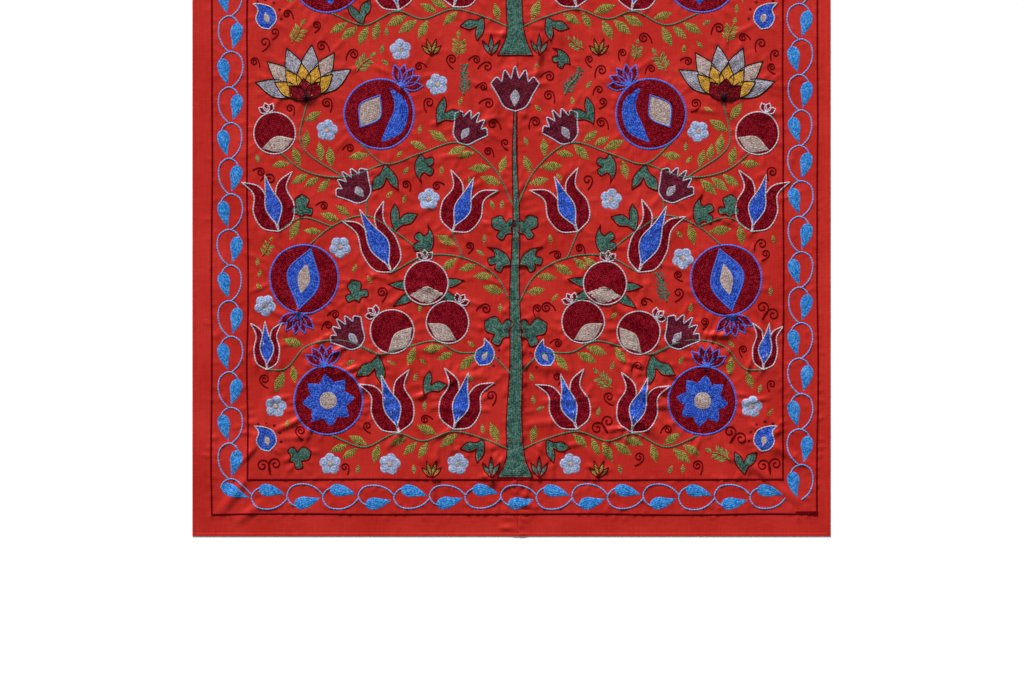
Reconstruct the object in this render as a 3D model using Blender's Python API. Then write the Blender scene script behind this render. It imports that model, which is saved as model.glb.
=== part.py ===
"""Embroidered hanging of two loom widths, laid out flat: two ground panels that meet at a centre seam.

Metres, +Z up. The cloth lies on the plane Z = 0 with its top end towards +Y. The origin is on that plane,
midway between the side edges and midway between the two ends.
"""

import math
from collections import namedtuple

import bmesh
import bpy
import numpy as np
from mathutils import Vector

# Size of the whole cloth, and of the sheet that stands for the ground with its needlework
WIDTH = 1.220
LENGTH = 1.830
THICKNESS = 0.0015

# The two loom widths aren't equal, so the seam lies a little to the right of the middle
SEAM_X = 0.0124
SEAM_GAP = 0.0003

# Mesh: cells of the flat cloth, halved twice beside a crease
CELL = 0.051
REFINEMENTS = 2
REACH = 1.25  # how far past a crease's foot the finer cells go, as a share of its half width

# Slow swell of the field between creases; the hem band around it lies flat
SWELL_HEIGHT = 0.0016
SWELL_ALONG_X = 0.310
SWELL_ALONG_Y = 0.260
HEM_BAND = 0.045
HEM_FADE = 0.080

GROUND_RED = (0.479, 0.030, 0.023)
GROUND_ROUGHNESS = 0.55

# A crease is a soft ridge between two ends, tapering to nothing at both
Crease = namedtuple("Crease", "x1 y1 x2 y2 height half_width")

CREASES = [
    # lower right, long diagonals that run down towards the corner
    Crease(0.160, -0.444, 0.276, -0.532, 0.0042, 0.015),
    Crease(0.212, -0.622, 0.346, -0.688, 0.0036, 0.013),
    Crease(0.190, -0.664, 0.304, -0.734, 0.0040, 0.014),
    Crease(0.320, -0.519, 0.422, -0.592, 0.0038, 0.015),
    Crease(0.330, -0.626, 0.392, -0.682, 0.0028, 0.012),
    Crease(0.456, -0.484, 0.520, -0.642, 0.0034, 0.013),
    Crease(0.498, -0.676, 0.521, -0.766, 0.0030, 0.012),
    Crease(0.404, -0.748, 0.512, -0.814, 0.0036, 0.013),
    Crease(0.484, -0.732, 0.585, -0.792, 0.0032, 0.013),
    Crease(0.492, -0.810, 0.556, -0.856, 0.0030, 0.012),
    # lower left corner, drawn out towards the corner point
    Crease(-0.500, -0.794, -0.566, -0.884, 0.0044, 0.015),
    Crease(-0.468, -0.846, -0.530, -0.892, 0.0034, 0.013),
    Crease(-0.508, -0.766, -0.474, -0.700, 0.0030, 0.013),
    Crease(-0.484, -0.716, -0.428, -0.540, 0.0028, 0.016),
    # short level puckers beside the seam and across the lower middle
    Crease(-0.206, -0.556, -0.118, -0.562, 0.0026, 0.012),
    Crease(-0.128, -0.612, -0.030, -0.606, 0.0030, 0.012),
    Crease(-0.172, -0.664, -0.060, -0.676, 0.0028, 0.013),
    Crease(0.030, -0.588, 0.122, -0.600, 0.0028, 0.012),
    Crease(0.026, -0.702, 0.110, -0.694, 0.0026, 0.012),
    Crease(-0.096, -0.744, 0.000, -0.738, 0.0028, 0.012),
    # right edge of the field, short level puckers
    Crease(0.440, -0.052, 0.528, -0.058, 0.0024, 0.011),
    Crease(0.452, -0.112, 0.524, -0.104, 0.0024, 0.011),
    # seam, upper part: faint ripples that run along it
    Crease(-0.034, -0.190, -0.026, 0.060, 0.0022, 0.015),
    Crease(0.052, -0.150, 0.044, 0.120, 0.0022, 0.015),
    # upper half, finished in the same way
    Crease(-0.470, 0.560, -0.420, 0.430, 0.0026, 0.015),
    Crease(-0.498, 0.792, -0.560, 0.858, 0.0034, 0.014),
    Crease(0.500, 0.784, 0.562, 0.860, 0.0034, 0.014),
    Crease(0.360, 0.640, 0.470, 0.712, 0.0030, 0.014),
    Crease(-0.180, 0.430, -0.084, 0.438, 0.0026, 0.012),
    Crease(0.040, 0.520, 0.128, 0.510, 0.0026, 0.012),
    Crease(0.240, 0.300, 0.330, 0.232, 0.0030, 0.014),
]


def soft_step(t):
    """0 below 0, 1 above 1, and a smooth rise between."""
    t = np.clip(t, 0.0, 1.0)
    return t * t * (3.0 - 2.0 * t)


def crease_distances(crease, x, y):
    """How far along the crease a point lies, from 0 to 1, and how far to its side in metres."""
    run = np.array([crease.x2 - crease.x1, crease.y2 - crease.y1])
    length = math.hypot(*run)
    along = ((x - crease.x1) * run[0] + (y - crease.y1) * run[1]) / length**2
    aside = np.abs((x - crease.x1) * run[1] - (y - crease.y1) * run[0]) / length
    return along, aside


def crease_rise(crease, x, y):
    """Height that one crease adds: highest at its middle, round across, thin at both ends."""
    along, aside = crease_distances(crease, x, y)
    across = np.clip(1.0 - (aside / crease.half_width) ** 2, 0.0, 1.0) ** 2
    taper = np.clip(4.0 * along * (1.0 - along), 0.0, 1.0)
    return crease.height * across * taper


def swell(x, y):
    """Slow unevenness of the field, none of it in the hem band."""
    waves = np.sin(2.0 * math.pi * x / SWELL_ALONG_X + 3.0 * y) * np.sin(2.0 * math.pi * y / SWELL_ALONG_Y)
    to_edge = np.minimum(WIDTH / 2 - np.abs(x), LENGTH / 2 - np.abs(y))
    inside = soft_step((to_edge - HEM_BAND) / HEM_FADE)
    return SWELL_HEIGHT * np.clip(waves, 0.0, 1.0) ** 2 * inside


def rise(x, y):
    """Height of the underside above the surface that the cloth lies on."""
    return swell(x, y) + sum(crease_rise(crease, x, y) for crease in CREASES)


def beside_a_crease(point):
    """True where the cloth needs finer cells."""
    for crease in CREASES:
        along, aside = crease_distances(crease, point.x, point.y)
        if -0.1 < along < 1.1 and aside < REACH * crease.half_width:
            return True
    return False


def flat_panel(x_low, x_high):
    """Grid of square-ish cells between two side edges, finer beside the creases."""
    bm = bmesh.new()
    columns = round((x_high - x_low) / CELL)
    rows = round(LENGTH / CELL)
    bmesh.ops.create_grid(bm, x_segments=columns, y_segments=rows, size=0.5)
    bmesh.ops.scale(bm, verts=bm.verts, vec=(x_high - x_low, LENGTH, 1.0))
    bmesh.ops.translate(bm, verts=bm.verts, vec=((x_low + x_high) / 2, 0.0, 0.0))
    for _ in range(REFINEMENTS):
        close = [face for face in bm.faces if beside_a_crease(face.calc_center_median())]
        edges = list({edge for face in close for edge in face.edges})
        bmesh.ops.subdivide_edges(bm, edges=edges, cuts=1, use_grid_fill=True)
        bmesh.ops.triangulate(bm, faces=[face for face in bm.faces if len(face.verts) > 4])
    bmesh.ops.triangulate(bm, faces=bm.faces)
    return bm


def sheet(name, x_low, x_high, material):
    """One panel: a flat grid lifted onto the creases, then extruded straight up to its thickness."""
    bm = flat_panel(x_low, x_high)
    for vert in bm.verts:
        vert.co.z = float(rise(vert.co.x, vert.co.y))
    top = bmesh.ops.extrude_face_region(bm, geom=bm.faces[:], use_keep_orig=True)
    raised = [item for item in top["geom"] if isinstance(item, bmesh.types.BMVert)]
    bmesh.ops.translate(bm, verts=raised, vec=Vector((0.0, 0.0, THICKNESS)))
    bmesh.ops.recalc_face_normals(bm, faces=bm.faces)
    mesh = bpy.data.meshes.new(name)
    bm.to_mesh(mesh)
    bm.free()
    mesh.shade_smooth()
    mesh.set_sharp_from_angle(angle=math.radians(40))
    mesh.materials.append(material)
    panel = bpy.data.objects.new(name, mesh)
    bpy.context.collection.objects.link(panel)
    return panel


def ground_material():
    """Scarlet silk and cotton ground."""
    material = bpy.data.materials.new("scarlet_ground")
    material.use_nodes = True
    shader = material.node_tree.nodes["Principled BSDF"]
    shader.inputs["Base Color"].default_value = (*GROUND_RED, 1.0)
    shader.inputs["Roughness"].default_value = GROUND_ROUGHNESS
    shader.inputs["Metallic"].default_value = 0.0
    return material


def main():
    for item in list(bpy.data.objects):
        bpy.data.objects.remove(item)
    ground = ground_material()
    sheet("ground_left", -WIDTH / 2, SEAM_X - SEAM_GAP / 2, ground)
    sheet("ground_right", SEAM_X + SEAM_GAP / 2, WIDTH / 2, ground)


main()
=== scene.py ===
"""Suzani hanging laid out flat: a red silk and cotton ground of two loom widths, joined by a centre seam,
sewn all over with couched fills and chain-stitched lines in silk thread.

Metres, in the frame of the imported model: +Z up out of the sewn face, +Y towards the top end.
"""

import math
import random
from collections import defaultdict, namedtuple

import bmesh
import bpy
import numpy as np
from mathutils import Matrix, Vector


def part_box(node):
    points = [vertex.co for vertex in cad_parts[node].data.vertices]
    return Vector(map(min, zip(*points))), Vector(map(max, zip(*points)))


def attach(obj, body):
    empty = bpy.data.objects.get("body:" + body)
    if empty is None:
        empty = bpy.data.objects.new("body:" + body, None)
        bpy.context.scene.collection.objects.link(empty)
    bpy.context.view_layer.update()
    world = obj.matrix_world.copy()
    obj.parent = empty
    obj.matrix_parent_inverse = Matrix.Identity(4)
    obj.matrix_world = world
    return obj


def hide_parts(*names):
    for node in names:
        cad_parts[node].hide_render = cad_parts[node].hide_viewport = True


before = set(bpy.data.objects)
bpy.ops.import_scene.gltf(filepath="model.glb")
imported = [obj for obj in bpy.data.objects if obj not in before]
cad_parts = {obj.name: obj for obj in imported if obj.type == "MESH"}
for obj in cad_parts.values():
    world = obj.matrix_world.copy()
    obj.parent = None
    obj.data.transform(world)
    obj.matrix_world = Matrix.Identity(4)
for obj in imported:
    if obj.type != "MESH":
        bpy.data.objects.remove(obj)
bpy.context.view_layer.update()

# ---------------------------------------------------------------- sizes, all from the two panels

left_low, left_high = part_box("ground_left")
right_low, right_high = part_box("ground_right")
EDGE_LEFT, EDGE_RIGHT = left_low.x, right_high.x
EDGE_BOTTOM, EDGE_TOP = left_low.y, left_high.y
WIDTH, LENGTH = EDGE_RIGHT - EDGE_LEFT, EDGE_TOP - EDGE_BOTTOM
SEAM_LEFT, SEAM_RIGHT = left_high.x, right_low.x
SEAM = (SEAM_LEFT + SEAM_RIGHT) / 2

MARGIN_LEFT, MARGIN_RIGHT, MARGIN_END = 0.039, 0.025, 0.042  # plain cloth outside the outer line
BAND = 0.066  # border between the two frame lines
OUTER_LEFT, OUTER_RIGHT = EDGE_LEFT + MARGIN_LEFT, EDGE_RIGHT - MARGIN_RIGHT
OUTER_BOTTOM, OUTER_TOP = EDGE_BOTTOM + MARGIN_END, EDGE_TOP - MARGIN_END
INNER_LEFT, INNER_RIGHT = OUTER_LEFT + BAND, OUTER_RIGHT - BAND
INNER_BOTTOM, INNER_TOP = OUTER_BOTTOM + BAND, OUTER_TOP - BAND
AXIS = (INNER_LEFT + INNER_RIGHT) / 2
TIER = (INNER_TOP - INNER_BOTTOM) / 2  # the field is sewn in two equal tiers

CLOTH = 0.0008  # woven ground
HEM_FOLD = 0.0005  # what the turned hem adds
HEM_LEFT, HEM_RIGHT, HEM_END = 0.006, 0.008, 0.005
CELL = 0.00375  # mesh of the cloth's face; its back is three times as coarse
CUT_X, CUT_Y = 0.0058, 0.0050  # the fills are cut on these lines
STEP = 0.0035  # between the points of a drawn line

# ---------------------------------------------------------------- how the cloth lies

Crease = namedtuple("Crease", "x1 y1 x2 y2 height half_width")

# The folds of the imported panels
FOLDS = [
    Crease(0.160, -0.444, 0.276, -0.532, 0.0042, 0.015),
    Crease(0.212, -0.622, 0.346, -0.688, 0.0036, 0.013),
    Crease(0.190, -0.664, 0.304, -0.734, 0.0040, 0.014),
    Crease(0.320, -0.519, 0.422, -0.592, 0.0038, 0.015),
    Crease(0.330, -0.626, 0.392, -0.682, 0.0028, 0.012),
    Crease(0.456, -0.484, 0.520, -0.642, 0.0034, 0.013),
    Crease(0.498, -0.676, 0.521, -0.766, 0.0030, 0.012),
    Crease(0.404, -0.748, 0.512, -0.814, 0.0036, 0.013),
    Crease(0.484, -0.732, 0.585, -0.792, 0.0032, 0.013),
    Crease(0.492, -0.810, 0.556, -0.856, 0.0030, 0.012),
    Crease(-0.500, -0.794, -0.566, -0.884, 0.0044, 0.015),
    Crease(-0.468, -0.846, -0.530, -0.892, 0.0034, 0.013),
    Crease(-0.508, -0.766, -0.474, -0.700, 0.0030, 0.013),
    Crease(-0.484, -0.716, -0.428, -0.540, 0.0028, 0.016),
    Crease(-0.206, -0.556, -0.118, -0.562, 0.0026, 0.012),
    Crease(-0.128, -0.612, -0.030, -0.606, 0.0030, 0.012),
    Crease(-0.172, -0.664, -0.060, -0.676, 0.0028, 0.013),
    Crease(0.030, -0.588, 0.122, -0.600, 0.0028, 0.012),
    Crease(0.026, -0.702, 0.110, -0.694, 0.0026, 0.012),
    Crease(-0.096, -0.744, 0.000, -0.738, 0.0028, 0.012),
    Crease(0.440, -0.052, 0.528, -0.058, 0.0024, 0.011),
    Crease(0.452, -0.112, 0.524, -0.104, 0.0024, 0.011),
    Crease(-0.034, -0.190, -0.026, 0.060, 0.0022, 0.015),
    Crease(0.052, -0.150, 0.044, 0.120, 0.0022, 0.015),
    Crease(-0.470, 0.560, -0.420, 0.430, 0.0026, 0.015),
    Crease(-0.498, 0.792, -0.560, 0.858, 0.0034, 0.014),
    Crease(0.500, 0.784, 0.562, 0.860, 0.0034, 0.014),
    Crease(0.360, 0.640, 0.470, 0.712, 0.0030, 0.014),
    Crease(-0.180, 0.430, -0.084, 0.438, 0.0026, 0.012),
    Crease(0.040, 0.520, 0.128, 0.510, 0.0026, 0.012),
    Crease(0.240, 0.300, 0.330, 0.232, 0.0030, 0.014),
]

SWELL_HEIGHT, SWELL_ALONG_X, SWELL_ALONG_Y = 0.0016, 0.310, 0.260
HEM_BAND, HEM_FADE = 0.045, 0.080


def soft_step(t):
    """0 below 0, 1 above 1, and a smooth rise between."""
    t = np.clip(t, 0.0, 1.0)
    return t * t * (3.0 - 2.0 * t)


def crease_rise(crease, x, y):
    """Height that one crease adds: highest at its middle, round across, thin at both ends."""
    run_x, run_y = crease.x2 - crease.x1, crease.y2 - crease.y1
    length = math.hypot(run_x, run_y)
    along = ((x - crease.x1) * run_x + (y - crease.y1) * run_y) / length**2
    aside = np.abs((x - crease.x1) * run_y - (y - crease.y1) * run_x) / length
    across = np.clip(1.0 - (aside / crease.half_width) ** 2, 0.0, 1.0) ** 2
    return crease.height * across * np.clip(4.0 * along * (1.0 - along), 0.0, 1.0)


def swell(x, y):
    """Slow unevenness of the field, none of it in the hem band."""
    waves = np.sin(2.0 * math.pi * x / SWELL_ALONG_X + 3.0 * y) * np.sin(2.0 * math.pi * y / SWELL_ALONG_Y)
    to_edge = np.minimum(WIDTH / 2 - np.abs(x), LENGTH / 2 - np.abs(y))
    return SWELL_HEIGHT * np.clip(waves, 0.0, 1.0) ** 2 * soft_step((to_edge - HEM_BAND) / HEM_FADE)


PUCKERS = []  # finer creases; the motifs add theirs as they are sewn

SEAM_RIDGE, SEAM_REACH, SEAM_DIP, SEAM_ROLL = 0.0009, 0.016, 0.0007, 0.0022


def seam_rise(x):
    """The allowances under the seam lift it a little, and the cloth rolls down into the seam itself."""
    aside = np.abs(x - SEAM)
    ridge = SEAM_RIDGE * np.clip(1.0 - (aside / SEAM_REACH) ** 2, 0.0, 1.0) ** 2
    return ridge - SEAM_DIP * np.clip(1.0 - aside / SEAM_ROLL, 0.0, 1.0) ** 2


NET = 0.002  # spacing of the height map
relief = np.zeros((round(LENGTH / NET) + 2, round(WIDTH / NET) + 2))


def crumple():
    """Works out the height map from the swell, the folds and all the puckers."""
    rows, columns = np.indices(relief.shape)
    x, y = EDGE_LEFT + columns * NET, EDGE_BOTTOM + rows * NET
    relief[:] = swell(x, y)
    for crease in FOLDS + PUCKERS:
        margin = crease.half_width + NET
        low_x, high_x = min(crease.x1, crease.x2) - margin, max(crease.x1, crease.x2) + margin
        low_y, high_y = min(crease.y1, crease.y2) - margin, max(crease.y1, crease.y2) + margin
        part = (
            slice(max(0, int((low_y - EDGE_BOTTOM) / NET)), max(0, int((high_y - EDGE_BOTTOM) / NET) + 1)),
            slice(max(0, int((low_x - EDGE_LEFT) / NET)), max(0, int((high_x - EDGE_LEFT) / NET) + 1)),
        )
        relief[part] += crease_rise(crease, x[part], y[part])


def lie(x, y):
    """Height of the cloth's underside."""
    row = np.clip((y - EDGE_BOTTOM) / NET, 0.0, relief.shape[0] - 1.001)
    column = np.clip((x - EDGE_LEFT) / NET, 0.0, relief.shape[1] - 1.001)
    j, i = row.astype(int), column.astype(int)
    t, s = row - j, column - i
    lower = relief[j, i] * (1.0 - s) + relief[j, i + 1] * s
    upper = relief[j + 1, i] * (1.0 - s) + relief[j + 1, i + 1] * s
    return np.maximum(lower * (1.0 - t) + upper * t + seam_rise(x), 0.0)


def hem_rise(x, y):
    """The turned hem along all four edges."""
    inward = [(x - EDGE_LEFT) / HEM_LEFT, (EDGE_RIGHT - x) / HEM_RIGHT]
    inward += [(y - EDGE_BOTTOM) / HEM_END, (EDGE_TOP - y) / HEM_END]
    return HEM_FOLD * (1.0 - soft_step((np.minimum.reduce(inward) - 0.9) * 5.0))


def face(x, y):
    """Height of the cloth's sewn face."""
    return lie(x, y) + CLOTH + hem_rise(x, y)


# ---------------------------------------------------------------- drawing


def through(points, step=STEP, closed=False):
    """Points about a step apart on the smooth curve through the given ones."""
    points = np.asarray(points, float)
    if closed:
        before, after = points[-1:], points[:2]
    else:
        before, after = 2 * points[:1] - points[1:2], 2 * points[-1:] - points[-2:-1]
    ring = np.vstack([before, points, after])
    gaps = np.linalg.norm(np.diff(ring, axis=0), axis=1)[:, None] + 1e-9
    slopes = np.diff(ring, axis=0) / gaps
    headings = (slopes[:-1] * gaps[1:] + slopes[1:] * gaps[:-1]) / (gaps[:-1] + gaps[1:])
    runs = []
    for i in range(len(ring) - 3):
        gap = gaps[i + 1, 0]
        count = max(1, round(gap / step))
        t = (np.arange(count) / count)[:, None]
        runs.append(
            ring[i + 1] * (2 * t**3 - 3 * t**2 + 1)
            + headings[i] * gap * (t**3 - 2 * t**2 + t)
            + ring[i + 2] * (3 * t**2 - 2 * t**3)
            + headings[i + 1] * gap * (t**3 - t**2)
        )
    if not closed:
        runs.append(ring[-2:-1])
    return np.vstack(runs)


def cornered(*runs, step=STEP):
    """Closed outline of smooth runs that meet at corners."""
    return np.vstack([through(run, step)[:-1] for run in runs])


def mirrored(points):
    """The same points on the other side of a motif's own axis, in reverse order."""
    return [(-x, y) for x, y in reversed(points)]


def inside(outline, x, y):
    """True for the points that lie within a closed outline."""
    result = np.zeros(np.shape(x), bool)
    for (x1, y1), (x2, y2) in zip(outline, np.roll(outline, -1, axis=0)):
        if y1 != y2:
            result ^= ((y1 > y) != (y2 > y)) & (x < (x2 - x1) * (y - y1) / (y2 - y1) + x1)
    return result


class Spot:
    """A place on the cloth with its own axes: the foot of a motif, its heading, size and side of the axis."""

    def __init__(self, u, v, turn=0.0, size=1.0, side=1):
        self.u, self.v, self.size, self.side = u, v, size, side
        self.sin, self.cos = math.sin(math.radians(turn)), math.cos(math.radians(turn))

    def put(self, points):
        """Points of the motif's own drawing, on the cloth."""
        x, y = np.asarray(points, float).T * self.size
        u = self.u + x * self.cos + y * self.sin
        v = self.v - x * self.sin + y * self.cos
        return np.stack([AXIS + self.side * u, v], axis=1)

    @property
    def foot(self):
        return self.put([(0.0, 0.0)])[0]

    @property
    def heading(self):
        ahead = self.put([(0.0, 1.0)])[0] - self.foot
        return ahead / np.linalg.norm(ahead)


# What is sewn, by piece: fills are closed outlines, lines are open or closed runs
fills, lines = defaultdict(list), defaultdict(list)

# Cells of the cloth that are already sewn, so that the last sprays and tendrils find open ground
SQUARE = 0.0025
sewn = np.zeros((round(LENGTH / SQUARE), round(WIDTH / SQUARE)), bool)


def squares_near(points, margin):
    """The part of the sewn map around some points, with the middles of its squares."""
    low = ((points.min(0) - margin - (EDGE_LEFT, EDGE_BOTTOM)) / SQUARE).astype(int).clip(0)
    high = ((points.max(0) + margin - (EDGE_LEFT, EDGE_BOTTOM)) / SQUARE).astype(int) + 2
    part = sewn[low[1]:high[1], low[0]:high[0]]
    rows, columns = np.indices(part.shape)
    return part, EDGE_LEFT + (columns + low[0] + 0.5) * SQUARE, EDGE_BOTTOM + (rows + low[1] + 0.5) * SQUARE


def mark_line(points, margin):
    """Marks the squares within a margin of a line."""
    part, x, y = squares_near(points, margin)
    for px, py in points:
        part |= (x - px) ** 2 + (y - py) ** 2 < margin**2


def mark_fill(outline, margin):
    """Marks the squares inside an outline and within a margin of it."""
    part, x, y = squares_near(outline, margin)
    part |= inside(outline, x, y)
    mark_line(outline, margin)


def is_open(outline):
    """True if no square within an outline is sewn yet, and all of it is in the field."""
    low, high = outline.min(0), outline.max(0)
    if low[0] < INNER_LEFT + 0.006 or high[0] > INNER_RIGHT - 0.006:
        return False
    if low[1] < INNER_BOTTOM + 0.006 or high[1] > INNER_TOP - 0.006:
        return False
    part, x, y = squares_near(outline, 0.0)
    return not (part & inside(outline, x, y)).any()


GAP_FILL, GAP_LINE = 0.0055, 0.0050  # bare ground kept around what is sewn
FINE_LINE = 0.0022


def fill(piece, thread, outline, spot=None, level=0, keep=GAP_FILL):
    """Sews a closed outline full. Its rows lie on a heading of its own where a spot gives one."""
    foot, heading = (spot.foot, spot.heading) if spot else (outline.mean(0), np.array([0.0, 1.0]))
    fills[piece].append((outline, thread, level, foot, heading))
    if level == 0 and keep:
        mark_fill(outline, keep)


def line(piece, thread, points, width=0.0030, level=0, keep=GAP_LINE):
    """Sews a line of chain stitch along points."""
    lines[piece].append((np.asarray(points), thread, width, level))
    if level == 0 and keep:
        mark_line(np.asarray(points), keep)


def ringed(piece, thread, outline, edge, spot=None, level=0, width=0.0027, keep=GAP_FILL):
    """A fill with a chain-stitched line round its edge."""
    fill(piece, thread, outline, spot, level, keep)
    line(piece, edge, np.vstack([outline, outline[:1]]), width, level, 0)


# ---------------------------------------------------------------- motifs, each drawn upwards from its foot


def disc(middle, radius, points=10):
    """Round outline, a little uneven as drawn by hand."""
    turns = np.arange(points) * 2 * math.pi / points
    wobble = 1.0 + 0.012 * np.sin(3 * turns + 7 * middle[1])
    x = middle[0] + radius * wobble * np.cos(turns)
    y = middle[1] + radius * wobble * np.sin(turns)
    return np.stack([x, y], axis=1)


def petal(foot, turn, length, width, fullest=0.5):
    """Pointed petal from a foot, as two runs that meet at the foot and the tip."""
    sin, cos = math.sin(math.radians(turn)), math.cos(math.radians(turn))
    shape = [(0, 0), (-width / 2, length * fullest), (0, length)]
    other = [(0, length), (width / 2, length * fullest), (0, 0)]
    return [
        [(foot[0] + x * cos + y * sin, foot[1] - x * sin + y * cos) for x, y in run] for run in (shape, other)
    ]


def lay(spot, runs):
    """Outline on the cloth from runs in a motif's own drawing."""
    return cornered(*[spot.put(run) for run in runs])


def crown(piece, spot, foot, turns, length, width, thread, edge):
    """Fan of pointed petals at the end of a fruit."""
    for turn in turns:
        shape = petal(foot, turn, length, width, 0.62)
        ringed(piece, thread, lay(spot, shape), edge, spot, 0, 0.0026)


def pomegranate(spot, kind):
    """Large round fruit with a cobalt rim and a crown; inside it a split, a rosette or a half moon."""
    piece = "pomegranates"
    crown(piece, spot, (0, 0.99), (-50, -24, 2, 27, 52), 0.33, 0.12, "crimson", "cobalt_line")
    body = through(spot.put(disc((0, 0.5), 0.5)), closed=True)
    ringed(piece, "crimson", body, "cobalt_line", spot, 0, 0.0036)
    if kind == "split":
        skin = [[(0.02, 0.05), (-0.25, 0.42), (0.0, 0.95)], [(0.0, 0.95), (0.22, 0.58), (0.02, 0.05)]]
        seeds = [[(0.0, 0.24), (-0.10, 0.46), (-0.02, 0.74)], [(-0.02, 0.74), (0.09, 0.54), (0.0, 0.24)]]
        ringed(piece, "cobalt", lay(spot, skin), "cobalt_line", spot, 1)
        fill(piece, "cream", lay(spot, seeds), spot, 2)
    if kind == "rosette":
        for turn in range(0, 360, 45):
            fill(piece, "cobalt", lay(spot, petal((0, 0.5), turn, 0.40, 0.22, 0.60)), spot, 1)
        fill(piece, "cream", through(spot.put(disc((0, 0.5), 0.13)), closed=True), spot, 2)
    if kind == "moon":
        moon = [[(-0.26, 0.16), (-0.42, 0.50), (-0.20, 0.88), (0.16, 0.90)]]
        moon += [[(0.16, 0.90), (-0.10, 0.72), (-0.18, 0.46), (-0.26, 0.16)]]
        fill(piece, "cobalt", lay(spot, moon), spot, 1)
        heart = [[(0.10, 0.18), (-0.04, 0.46), (0.16, 0.72)], [(0.16, 0.72), (0.30, 0.44), (0.10, 0.18)]]
        ringed(piece, "cream", lay(spot, heart), "cobalt_line", spot, 1, 0.0026)


def small_pomegranate(spot, leafy):
    """Small round fruit, cream at its foot, with a pale rim and a crown of three."""
    piece = "small_pomegranates"
    crown(piece, spot, (0, 1.0), (-42, 0, 42), 0.26, 0.15, "crimson", "pale_line")
    if leafy:
        for turn in (-118, -84, 84, 118):
            shape = petal((0, 0.42), turn, 0.88, 0.20, 0.66)
            ringed("scroll_leaves", "green", lay(spot, shape), "maroon_line", spot, 0, 0.0024)
    body = through(spot.put(disc((0, 0.5), 0.5)), closed=True)
    ringed(piece, "crimson", body, "pale_line", spot, 1 if leafy else 0)
    moon = [[(-0.40, 0.24), (-0.02, 0.03), (0.40, 0.24)], [(0.40, 0.24), (0.0, 0.42), (-0.40, 0.24)]]
    fill(piece, "cream", lay(spot, moon), spot, 2)


def tulip(spot, slim):
    """Two crimson petals that curl outwards, with a cobalt heart between them."""
    piece = "tulips"
    spread = 0.74 if slim else 1.0
    tip = (-0.46 * spread, 1.0)
    outer = [(0, 0), (-0.27 * spread, 0.12), (-0.37 * spread, 0.42), (-0.30 * spread, 0.74), tip]
    inner = [tip, (-0.18 * spread, 0.86), (-0.06, 0.55), (-0.03, 0.20), (0, 0)]
    for runs in ([outer, inner], [mirrored(inner), mirrored(outer)]):
        ringed(piece, "crimson", lay(spot, runs), "pale_line", spot)
    heart = [[(0, 0.10), (-0.15, 0.44), (-0.04, 0.76), (0.03, 1.04)]]
    heart += [[(0.03, 1.04), (0.08, 0.76), (0.14, 0.44), (0, 0.10)]]
    ringed(piece, "cobalt", lay(spot, heart), "pale_line", spot, 1, FINE_LINE)


def carnation(spot, thread="plum"):
    """Toothed fan with a grey eye at its foot."""
    half = [(0, 0), (-0.26, 0.10), (-0.44, 0.40), (-0.62, 0.70)]
    teeth = [[(-0.62, 0.70), (-0.46, 0.86), (-0.34, 0.74)], [(-0.34, 0.74), (-0.26, 1.04), (-0.10, 0.82)]]
    tip = [(-0.10, 0.82), (0.0, 1.14), (0.10, 0.82)]
    runs = [half, *teeth, tip, *[mirrored(run) for run in reversed(teeth)], mirrored(half)]
    ringed("carnations", thread, lay(spot, runs), "frost_line", spot)
    fill("carnations", "grey", lay(spot, petal((0, 0.08), 0, 0.52, 0.26, 0.60)), spot, 1)


def scroll_leaf(spot, kind):
    """Green leaf with lobes on one side, or three-lobed, edged in maroon."""
    if kind == "hook":
        runs = [[(0, 0), (-0.16, 0.26), (-0.16, 0.62), (0.06, 1.0)]]
        runs += [[(0.06, 1.0), (0.02, 0.74), (0.12, 0.62)]]
        runs += [[(0.12, 0.62), (0.34, 0.72), (0.44, 0.52), (0.26, 0.42)]]
        runs += [[(0.26, 0.42), (0.42, 0.34), (0.38, 0.12), (0.16, 0.18)]]
        runs += [[(0.16, 0.18), (0.06, 0.10), (0, 0)]]
    if kind == "three":
        side = [(0, 0), (-0.14, 0.16), (-0.42, 0.14), (-0.46, 0.42), (-0.20, 0.46)]
        top = [(-0.20, 0.46), (-0.30, 0.78), (0.02, 1.0)]
        runs = [side, top, [(0.02, 1.0), (0.28, 0.76), (0.20, 0.46)], mirrored(side)]
    if kind == "wing":
        runs = [[(0, 0), (-0.20, 0.30), (-0.46, 0.44), (-0.62, 0.86)]]
        runs += [[(-0.62, 0.86), (-0.20, 0.76), (-0.02, 0.48)]]
        runs += [[(-0.02, 0.48), (0.06, 0.74), (0.30, 1.0)]]
        runs += [[(0.30, 1.0), (0.34, 0.60), (0.18, 0.24), (0, 0)]]
    ringed("scroll_leaves", "green", lay(spot, runs), "maroon_line", spot, 0, 0.0026)


def fern_leaf(spot):
    """Long green leaf, feathered on both sides of a bent rib."""
    rib = through(spot.put([(0, 0), (0.04, 0.34), (-0.02, 0.68), (0.10, 1.0)]))
    count = 7
    for i in range(count):
        share = (i + 0.6) / count
        foot = (0.04 * math.sin(share * 5), share * 0.94)
        reach = 0.30 * (1.0 - 0.55 * share)
        for turn in (-48, 48):
            fill("scroll_leaves", "green", lay(spot, petal(foot, turn, reach, 0.085, 0.6)), spot, 0, 0.003)
    line("scroll_leaves", "green_line", rib, 0.0042)


def olive_leaf(spot, thread="olive"):
    """Plain pointed leaf sewn from its rib outwards."""
    fill("leaf_sprays", thread, lay(spot, petal((0, 0), 0, 1.0, 0.40, 0.52)), spot, 0, 0.004)


def blades(spot, thread, turns, length):
    """Tuft of blades at the foot of the field."""
    for turn in turns:
        runs = petal((0, 0), turn, length * (1.0 - abs(turn) / 160), 0.2, 0.45)
        ringed("grass_tufts", thread, lay(spot, runs), "maroon_line", spot, 0, FINE_LINE)


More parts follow.
